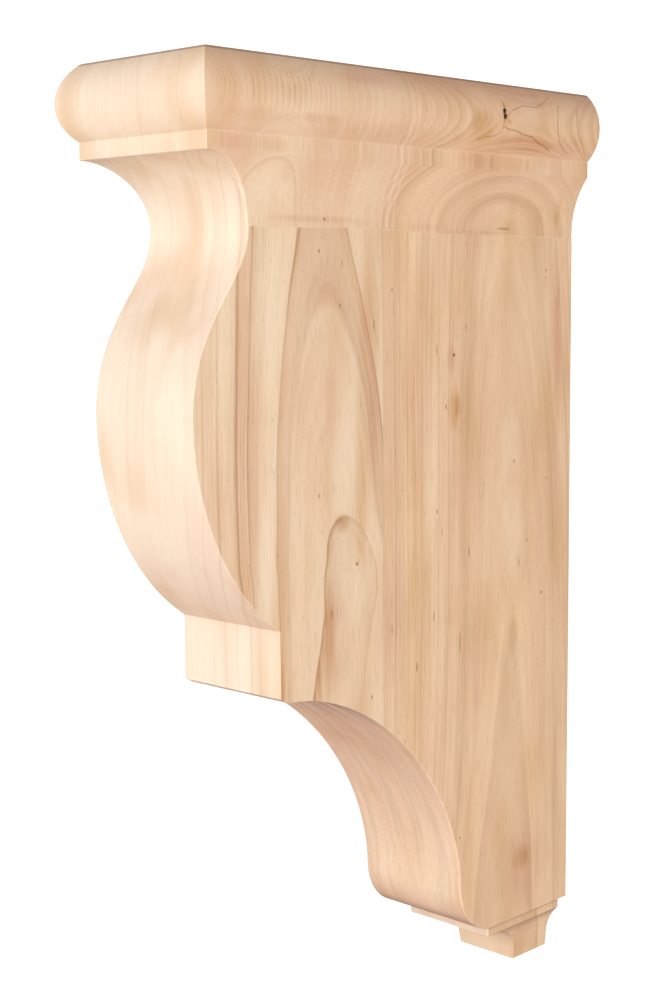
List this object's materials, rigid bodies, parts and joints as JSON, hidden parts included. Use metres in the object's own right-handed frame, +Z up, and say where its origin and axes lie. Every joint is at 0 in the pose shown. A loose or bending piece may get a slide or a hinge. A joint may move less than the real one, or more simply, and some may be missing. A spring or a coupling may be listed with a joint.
{
  "type": "wooden corbel bracket",
  "caption": "Solid wooden corbel bracket with a moulded cap, scrolled front, lower hollow and coved drop; holds up a shelf or counter from a wall.",
  "frame": {"origin": "on the flat wall face, on the centre line, at half the bracket's height", "axes": "+X across the bracket, +Y into the wall, +Z up"},
  "size_m": [0.0762, 0.21, 0.3556],
  "materials": {
    "wood": "bare sanded hardwood, grain upright"
  },
  "bodies": {
    "root": {"corbel": "wood"}
  },
  "joints": []
}
